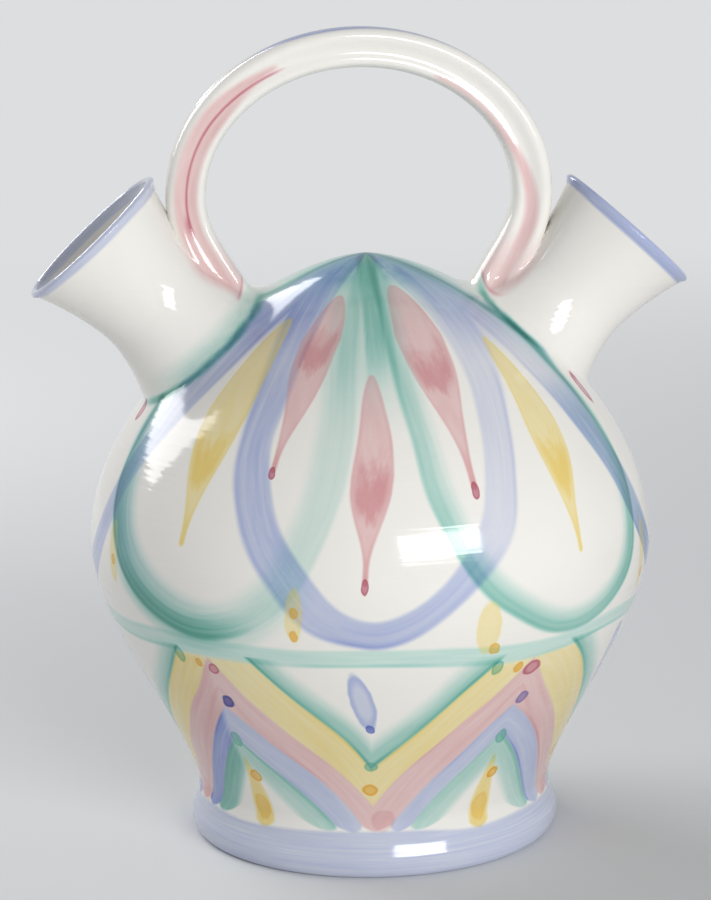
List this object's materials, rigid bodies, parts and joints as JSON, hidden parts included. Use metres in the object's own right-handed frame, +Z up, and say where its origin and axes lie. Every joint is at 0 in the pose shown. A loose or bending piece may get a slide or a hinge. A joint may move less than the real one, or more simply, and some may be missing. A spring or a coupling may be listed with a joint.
{
  "type": "two-spouted stirrup vase",
  "caption": "Hollow glazed vase with a round belly, a closed pointed crown, two slanting trumpet spouts and an arched handle over the crown.",
  "frame": {"origin": "centre of the standing ring of the foot, on the surface that the vase stands on", "axes": "+Z up along the thrown body's axis; +X towards the right-hand spout, so that both spouts and the handle lie in the XZ plane; -Y towards the viewer"},
  "size_m": [0.2423, 0.209, 0.3003],
  "materials": {
    "glazed_ware": "glossy white glaze over earthenware with pastel brush ornament"
  },
  "bodies": {
    "root": {"vase": "glazed_ware"}
  },
  "joints": []
}
